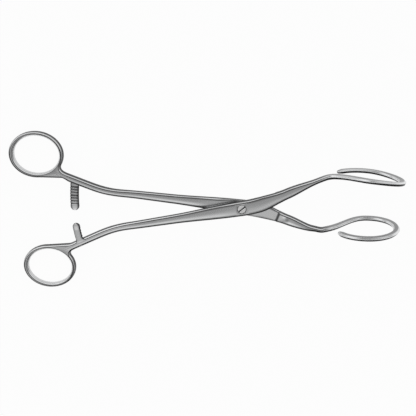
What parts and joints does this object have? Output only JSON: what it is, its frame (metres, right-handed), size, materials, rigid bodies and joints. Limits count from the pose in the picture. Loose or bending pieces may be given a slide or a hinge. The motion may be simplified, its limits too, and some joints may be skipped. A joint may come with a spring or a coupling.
{
  "type": "uterine elevating forceps",
  "caption": "Ring-handled elevating forceps: crossed arms on a slotted screw, ratchet bars and open loop jaws set across the plane of the handles.",
  "frame": {"origin": "on the pivot axis, at the flat rear face of the lap joint", "axes": "+X along the instrument towards the loops, +Y in the plane of opening towards the rear arm's ring, +Z along the pivot axis towards the screw head"},
  "size_m": [0.2273, 0.0976, 0.0338],
  "materials": {
    "arm_steel": "satin",
    "screw_steel": "fine ground"
  },
  "bodies": {
    "rear_half": {"rear_arm": "arm_steel", "pivot_screw": "screw_steel"},
    "front_half": {"front_arm": "arm_steel"}
  },
  "joints": [
    {"name": "pivot", "type": "hinge", "parent": "rear_half", "child": "front_half", "pos_m": [0, 0, 0.0032], "axis": [0, 0, 1], "range_deg": [-8.5, 35]}
  ]
}
